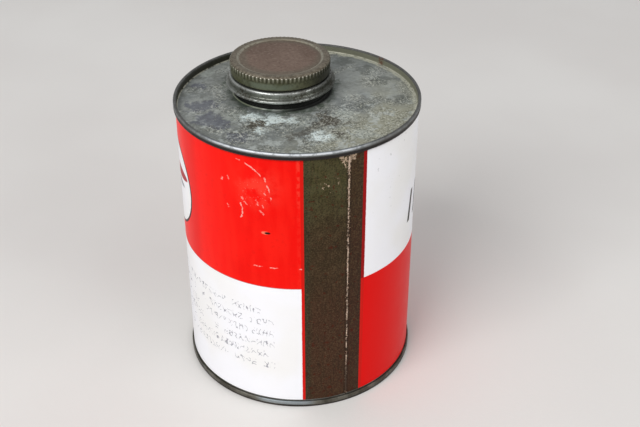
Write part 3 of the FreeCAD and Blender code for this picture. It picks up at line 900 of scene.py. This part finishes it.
def floor_paint():
    g = Graph("floor_paint")
    cloud = g.noise(0.004, 3)
    colour = g.mix(g.ramp(cloud, 0.35, 0.65), (222, 218, 214), (228, 225, 221))
    return g.finish(colour, 0.75 + (cloud - 0.5) * 0.2, g.noise(0.5, 3) * 0.05)


# Pieces

def ride_as(piece, body, node):
    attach(piece, body)
    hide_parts(node)


def wall_columns():
    """Places of the wall's columns round it: even, but closer together across the side seam."""
    near = np.array([0.06, 0.14, 0.22, 0.3, 0.4, 0.55, 0.75, 1.0, 1.4, 1.9, 2.5])
    even = np.arange(3.2, ROUND_WALL - 3.2, 0.72)
    marks = np.concatenate(([0], near, even, ROUND_WALL - near[::-1]))
    clear = np.abs(marks[:, None] - STRIP).min(axis=1) > 0.2
    return np.sort(np.concatenate((marks[clear], STRIP)))


def can_wall():
    bend, hook_end = BODY_HOOK
    samples = bends((BODY_HOOK_R, hook_end), (BODY_HOOK_R, bend, LAYER), (BODY_R, bend, LAYER),
                    (BODY_R, HEIGHT - bend, LAYER), (BODY_HOOK_R, HEIGHT - bend, LAYER),
                    (BODY_HOOK_R, HEIGHT - hook_end), step=3.0)
    angles = -math.pi / 2 - wall_columns() / WALL_R

    def place(r, z, angle):
        s = np.mod(-math.pi / 2 - angle, 2 * math.pi) * WALL_R
        signed = np.where(s > ROUND_WALL / 2, s - ROUND_WALL, s)
        from_end = np.minimum(z, HEIGHT - z)
        free = smooth(from_end, SEAM_H, SEAM_H + 8)
        groove = GROOVE_DEPTH * (1 - smooth(np.abs(signed), 0.12, 0.5)) * smooth(from_end, 3, 5)
        turn = angle * 3
        wave = WALL_WAVE * ripple(np.cos(turn) * 2 + z / 30, np.sin(turn) * 2 + z / 50, 4)
        flat = -WALL_FLAT * np.exp(-((np.abs(signed) - 2.2) / 1.6) ** 2)
        return about_can(r - groove + free * (wave + flat), z, angle)

    def slot_of(r, z, angle):
        s = np.mod(-math.pi / 2 - (angle + np.roll(angle, -1, axis=0)) / 2, 2 * math.pi) * WALL_R
        outside = (r > BODY_R + 0.05) & (z > 2.6) & (z < HEIGHT - 2.6)
        on_print = outside & (s > STRIP[0]) & (s < STRIP[1])
        return np.where(on_print, 0, np.where(outside, 1, 2))

    slots = (litho_print(), strip_tin(), plain_tin("inner_tin"))
    piece = spun("can_wall", sheet_loop(samples), angles[::-1], place, slots, slot_of)
    ride_as(piece, "can", "body_shell")


def seam_bead():
    """The solder line down the side seam, uneven in width and height."""
    z = np.arange(SEAM_H + 0.15, HEIGHT - SEAM_H - 0.1, 0.35)
    wide = 0.27 + 0.2 * ripple(z * 1.3, z * 0.13, 8) + 0.15 * smooth(z, 118, HEIGHT - SEAM_H)
    wide = np.maximum(wide, 0.08)
    high = 0.055 + 0.045 * ripple(z * 0.7, z * 0.21, 9)
    shift = 0.13 * ripple(z * 0.5, z * 0.05, 10)
    across = np.linspace(-1, 1, 9)
    top = WALL_R + np.outer(high, 1 - across ** 2) - 0.06 * np.abs(across) ** 3
    under = np.full_like(top, WALL_R - 0.2) + 0.06 * np.abs(across)
    u = shift[:, None] + np.outer(wide, across)
    ring_u = np.hstack((u, u[:, ::-1]))
    ring_r = np.hstack((top, under[:, ::-1]))
    angle = -math.pi / 2 - ring_u / WALL_R
    rings = np.stack(about_can(ring_r, np.broadcast_to(z[:, None], angle.shape), angle), axis=-1)
    ride_as(bar("seam_solder", rings, solder()), "can", "side_seam_solder")


def cover_rim():
    """Rim of an end, as (radius, depth) corners from its hook to the foot of its chuck wall."""
    fold, crown = SEAM_H - SHEET / 2, SHEET / 2
    return [(COVER_HOOK_R, COVER_HOOK_END), (COVER_HOOK_R, fold, LAYER), (SEAMING_R, fold, LAYER),
            (SEAMING_R, crown, CROWN_BEND), (CHUCK_R, crown, CROWN_BEND),
            (CHUCK_R, PANEL, CHUCK_BEND)]


def can_top():
    collar = [(BOSS_FOOT_R, PANEL, BOSS_BEND), (BOSS_EDGE_R, BOSS, BOSS_BEND),
              (COLLAR_R, BOSS, 0.4), (COLLAR_R, -FLANGE_Z, 0.5), (FLANGE_R, -FLANGE_Z)]
    samples = below_top(bends(*cover_rim(), *collar, step=0.9))

    def place(r, z, angle):
        drop = HEIGHT - z
        to_neck = 1 - smooth(r, 24.5, CHUCK_R - 1.2)
        x, y = r * np.cos(angle) + NECK_X * to_neck, r * np.sin(angle) + NECK_Y * to_neck
        on_panel = smooth(drop, 3.2, 3.4) * smooth(r, 23, 27)
        on_panel = on_panel * (1 - smooth(r, CHUCK_R - 4, CHUCK_R - 1))
        wave = TOP_WAVE * ripple(x * 0.09, y * 0.09, 21) * on_panel
        seam = smooth(r, CHUCK_R - 0.6, CHUCK_R) * (1 - smooth(drop, 0.5, 3.3))
        dip = -SEAM_DIP * np.abs(ripple(np.cos(angle) * 5, np.sin(angle) * 5, 23)) * seam
        return x, y, z + wave + dip

    piece = spun("can_top", sheet_loop(samples), even_angles(360), place, (end_tin(),))
    ride_as(piece, "can", "top_end")


def can_bottom():
    samples = bends(*cover_rim(), *BOTTOM_STEPS, (0.0, STEP_DEPTH), step=1.5)
    piece = spun("can_bottom", sheet_loop(samples), even_angles(288), about_can, (foot_tin(),))
    ride_as(piece, "can", "bottom_end")


def neck_ring():
    centre, curl_r, curl_turn = MOUTH_CURL
    around = np.radians(np.linspace(0, curl_turn, 19)[1:])
    outward = np.column_stack((np.cos(around), np.sin(around)))
    curl = np.hstack((centre + curl_r * outward, -outward))
    samples = above_top(np.vstack((bends(*NECK_CLINCH, step=0.25, chords=6), curl)))

    def place(r, z, angle):
        rise = z - HEIGHT
        on_tube = smooth(rise, 5.6, 6.2) * (1 - smooth(rise, 9.5, 9.8)) * (1 - smooth(r, 20.5, 21))
        thread = NECK_THREAD_DEPTH * thread_rise(z, angle, math.pi) * on_tube
        uneven = NECK_WAVE * ripple(np.cos(angle) * 3, np.sin(angle) * 3 + z * 0.4, 31)
        return about_neck(r + thread - np.abs(uneven) * smooth(r, 22.5, 23.2), z, angle)

    piece = spun("neck_ring", sheet_loop(samples), even_angles(320), place, (neck_tin(),))
    ride_as(piece, "can", "screw_neck")


def cap():
    samples = above_top(bends(*CAP_HEM, *CAP_CROWN, (0.0, DISC_Z), step=0.3, chords=6))
    samples = samples[disc_thinned(samples)]

    def place(r, z, angle):
        rise = z - HEIGHT
        outer = smooth(r, CAP_R - 0.02, CAP_R + 0.1) * smooth(rise, KNURL_Z[0], KNURL_Z[0] + 0.5)
        ridge = (0.5 + 0.5 * np.cos(angle * KNURLS)) ** 1.2
        crown = smooth(r, 20.9, CAP_R + 0.1) * smooth(rise, CAP_TOP_Z - 0.8, CAP_TOP_Z)
        knurl = KNURL_DEPTH * ridge * outer * (1 - smooth(rise, KNURL_Z[1], CAP_CREST_Z + 0.05))
        notch = CROWN_NOTCH * (1 - ridge) * crown
        inner = (r > CAP_R - 0.3) & (r < CAP_R - 0.05) & (rise > 6.6) & (rise < 11.5)
        thread = (CAP_R - SHEET / 2 - CAP_THREAD_CREST_R) * thread_rise(z, angle, 0.0) * inner
        x, y, z = about_neck(r + knurl - thread, z - notch, angle)
        dent = DISC_DENT * ripple(x * 0.14, y * 0.14, 37) * (1 - smooth(r, 15, 18))
        return x, y, z + dent

    piece = spun("cap", sheet_loop(samples), even_angles(KNURLS * 10), place, (cap_lacquer(),))
    ride_as(piece, "cap", "screw_cap")


def disc_thinned(samples):
    """Which samples to keep: every fourth across the disc, and all of the others."""
    on_disc = samples[:, 0] < 17.5
    order = np.arange(len(samples))
    return ~on_disc | (order % 4 == 0) | (order == len(samples) - 1)


def lock_fold():
    """The folded layers of the lock seam, on the inside of the wall."""
    inner = BODY_R - LAYER
    samples = bends((0.5, inner), (-4.0, inner, 0.2), (-4.0, inner - LAYER, 0.2),
                    (0.3, inner - LAYER), step=0.6)
    u, r = sheet_loop(samples)[::-1].T
    z = np.linspace(4.4, HEIGHT - 4.4, 60)[:, None]
    rings = np.broadcast_arrays(*about_can(r, z, -math.pi / 2 + u / WALL_R))
    piece = bar("lock_fold", np.stack(rings, axis=-1), plain_tin("fold_tin"))
    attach(piece, "can")


def paint_nodes():
    """Materials of the CAD nodes that stay."""
    rubber = compound()
    finishes = {"top_seam_compound": rubber, "bottom_seam_compound": rubber,
                "neck_seam_compound": rubber, "cap_wad": pulpboard(), "wad_facing": foil()}
    for node, material in finishes.items():
        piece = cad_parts[node]
        piece.data.materials.clear()
        piece.data.materials.append(material)


# Stage, in metres

LIT_POINT = (0, 0, 0.07)
KEY = ((-1.3, -0.75, 1.35), (1.2, 1.2), 26)     # place, size and power
FILL = ((0.9, -1.4, 1.0), (1.4, 1.0), 9)
CAMERA_PLACE = (-0.1660, -0.3942, 0.3509)
CAMERA_DOWN = 0.5754                            # radians below level
CAMERA_HEADING = 65.8                           # degrees from the x axis
LENS, SENSOR = 59.56, 36


def stage():
    """A wide floor whose far side curves up into a backdrop."""
    reach, bend, columns = 6.0, 2.0, 64
    arc = [(reach + bend * math.sin(t), bend - bend * math.cos(t))
           for t in np.linspace(0, math.pi / 2, 12)]
    section = [(1.0, 0.0), (3.0, 0.0), *arc]
    vertices = [(r * math.cos(a), r * math.sin(a), h)
                for r, h in section for a in even_angles(columns)]
    faces = [[k * columns + j, k * columns + (j + 1) % columns,
              (k + 1) * columns + (j + 1) % columns, (k + 1) * columns + j]
             for k in range(len(section) - 1) for j in range(columns)]
    mesh = bpy.data.meshes.new("floor")
    mesh.from_pydata(vertices, [], [list(range(columns))] + faces)
    mesh.materials.append(floor_paint())
    floor = bpy.data.objects.new("floor", mesh)
    bpy.context.scene.collection.objects.link(floor)


def light(name, place, size, power):
    """A rectangular lamp that faces the can."""
    data = bpy.data.lights.new(name, "AREA")
    data.shape = "RECTANGLE"
    data.size, data.size_y = size
    data.energy = power
    lamp = bpy.data.objects.new(name, data)
    lamp.location = place
    x, y, z = np.array(LIT_POINT) - place
    lamp.rotation_euler = (math.atan2(math.hypot(x, y), -z), 0, math.atan2(y, x) - math.pi / 2)
    bpy.context.scene.collection.objects.link(lamp)


def studio():
    scene = bpy.context.scene
    world = bpy.data.worlds.new("studio")
    scene.world = world
    world.use_nodes = True
    background = world.node_tree.nodes["Background"]
    background.inputs["Color"].default_value = (0.95, 0.97, 1.0, 1)
    background.inputs["Strength"].default_value = 0.5
    light("key", *KEY)
    light("fill", *FILL)
    scene.view_settings.view_transform = "Standard"

    data = bpy.data.cameras.new("camera")
    data.sensor_width = SENSOR
    data.lens = LENS
    data.clip_start, data.clip_end = 0.01, 100
    camera = bpy.data.objects.new("camera", data)
    camera.location = CAMERA_PLACE
    camera.rotation_euler = (math.pi / 2 - CAMERA_DOWN, 0, math.radians(CAMERA_HEADING - 90))
    scene.collection.objects.link(camera)
    scene.camera = camera


can_wall()
seam_bead()
lock_fold()
can_top()
can_bottom()
neck_ring()
cap()
paint_nodes()
stage()
studio()
